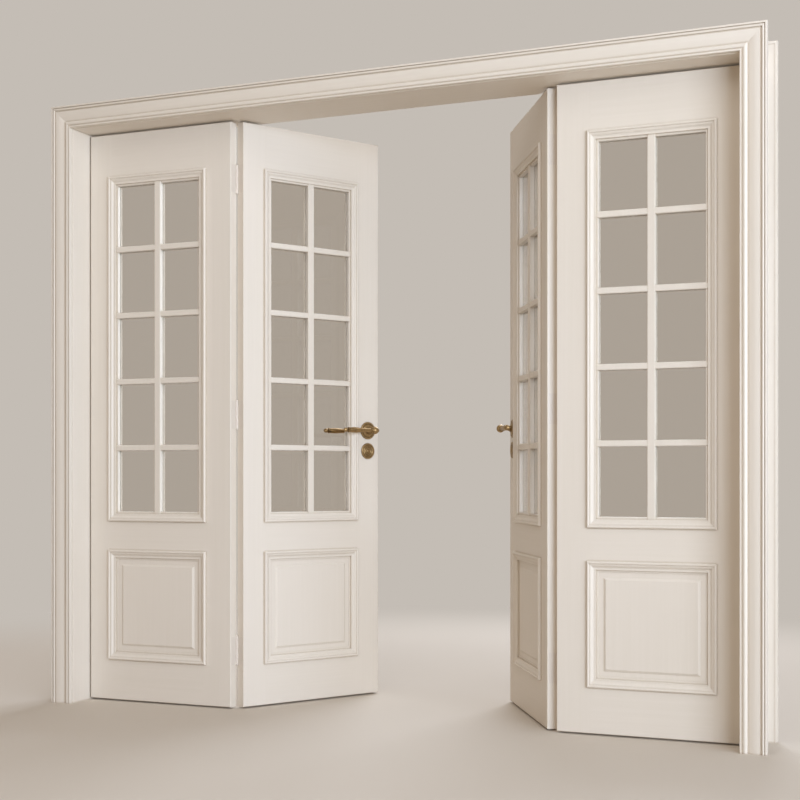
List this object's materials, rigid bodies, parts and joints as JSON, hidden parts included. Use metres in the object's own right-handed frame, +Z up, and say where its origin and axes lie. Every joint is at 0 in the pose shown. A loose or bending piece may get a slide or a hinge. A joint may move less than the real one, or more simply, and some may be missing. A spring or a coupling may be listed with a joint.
{
  "type": "french doors",
  "caption": "Glazed folding french doors in a lining with moulded casing; panes over raised panels, lever handles.",
  "frame": {"origin": "on the floor, midway between the jambs and halfway through the lining", "axes": "+X right along the wall seen from the front, +Y through the wall to the back room, +Z up"},
  "size_m": [2.586, 0.6894, 2.197],
  "materials": {
    "painted_frame": "cream satin paint",
    "painted_leaves": "cream satin paint",
    "painted_hinges": "cream satin paint over steel",
    "clear_glass": "clear float glass",
    "antique_brass": "aged, dark golden brown",
    "lock_steel": "satin plated steel"
  },
  "bodies": {
    "frame": {"back_casing_head": "painted_frame", "back_casing_left": "painted_frame", "back_casing_right": "painted_frame", "front_casing_head": "painted_frame", "front_casing_left": "painted_frame", "front_casing_right": "painted_frame", "head_jamb": "painted_frame", "left_jamb": "painted_frame", "left_jamb_hinge_plates_and_pins": "painted_hinges", "right_jamb": "painted_frame", "right_jamb_hinge_plates_and_pins": "painted_hinges"},
    "left_outer_leaf": {"left_fold_hinge_plates_and_pins": "painted_hinges", "left_jamb_hinge_leaf_plates": "painted_hinges", "left_outer_bottom_rail": "painted_leaves", "left_outer_fold_stile": "painted_leaves", "left_outer_glass_panes": "clear_glass", "left_outer_glazing_bars": "painted_leaves", "left_outer_jamb_stile": "painted_leaves", "left_outer_lock_rail": "painted_leaves", "left_outer_mouldings": "painted_leaves", "left_outer_raised_panel": "painted_leaves", "left_outer_top_rail": "painted_leaves"},
    "left_inner_leaf": {"left_fold_hinge_leaf_plates": "painted_hinges", "left_inner_bottom_rail": "painted_leaves", "left_inner_fold_stile": "painted_leaves", "left_inner_glass_panes": "clear_glass", "left_inner_glazing_bars": "painted_leaves", "left_inner_lock_rail": "painted_leaves", "left_inner_meeting_stile": "painted_leaves", "left_inner_mouldings": "painted_leaves", "left_inner_raised_panel": "painted_leaves", "left_inner_top_rail": "painted_leaves", "left_roses_and_escutcheons": "antique_brass", "lock_case": "lock_steel"},
    "left_lever": {"left_lever_handles": "antique_brass"},
    "latch_bolt": {"latch_bolt": "lock_steel"},
    "right_outer_leaf": {"right_fold_hinge_plates_and_pins": "painted_hinges", "right_jamb_hinge_leaf_plates": "painted_hinges", "right_outer_bottom_rail": "painted_leaves", "right_outer_fold_stile": "painted_leaves", "right_outer_glass_panes": "clear_glass", "right_outer_glazing_bars": "painted_leaves", "right_outer_jamb_stile": "painted_leaves", "right_outer_lock_rail": "painted_leaves", "right_outer_mouldings": "painted_leaves", "right_outer_raised_panel": "painted_leaves", "right_outer_top_rail": "painted_leaves"},
    "right_inner_leaf": {"right_fold_hinge_leaf_plates": "painted_hinges", "right_inner_bottom_rail": "painted_leaves", "right_inner_fold_stile": "painted_leaves", "right_inner_glass_panes": "clear_glass", "right_inner_glazing_bars": "painted_leaves", "right_inner_lock_rail": "painted_leaves", "right_inner_meeting_stile": "painted_leaves", "right_inner_mouldings": "painted_leaves", "right_inner_raised_panel": "painted_leaves", "right_inner_top_rail": "painted_leaves", "right_roses_and_escutcheons": "antique_brass", "strike_plate": "lock_steel"},
    "right_lever": {"right_lever_handles": "antique_brass"}
  },
  "joints": [
    {"name": "left_outer_hinge", "type": "hinge", "parent": "frame", "child": "left_outer_leaf", "pos_m": [-1.2025, 0.0525, 1.056], "axis": [0, 0, 1], "range_deg": [0, 90]},
    {"name": "left_fold", "type": "hinge", "parent": "left_outer_leaf", "child": "left_inner_leaf", "pos_m": [-0.6035, 0.046, 1.056], "axis": [0, 0, 1], "range_deg": [-60, 90]},
    {"name": "left_lever_turn", "type": "hinge", "parent": "left_inner_leaf", "child": "left_lever", "pos_m": [-0.29138, 0.50261, 1.009], "axis": [0.866, -0.5, 0], "range_deg": [0, 40], "stiffness_Nm_per_rad": 1.6, "springref_deg": -40.11},
    {"name": "right_outer_hinge", "type": "hinge", "parent": "frame", "child": "right_outer_leaf", "pos_m": [1.2025, 0.0525, 1.056], "axis": [0, 0, -1], "range_deg": [0, 90]},
    {"name": "right_fold", "type": "hinge", "parent": "right_outer_leaf", "child": "right_inner_leaf", "pos_m": [0.6035, 0.046, 1.056], "axis": [0, 0, -1], "range_deg": [-60, 90]},
    {"name": "right_lever_turn", "type": "hinge", "parent": "right_inner_leaf", "child": "right_lever", "pos_m": [0.29138, 0.50261, 1.009], "axis": [0.866, 0.5, 0], "range_deg": [0, 40], "stiffness_Nm_per_rad": 1.6, "springref_deg": -40.11},
    {"name": "latch_slide", "type": "slide", "parent": "left_inner_leaf", "child": "latch_bolt", "axis": [-0.5, -0.866, 0], "range_m": [0, 0.012]}
  ],
  "couplings": [
    {"joint": "latch_slide", "follows": "left_lever_turn", "m_per_rad": 0.0171}
  ]
}
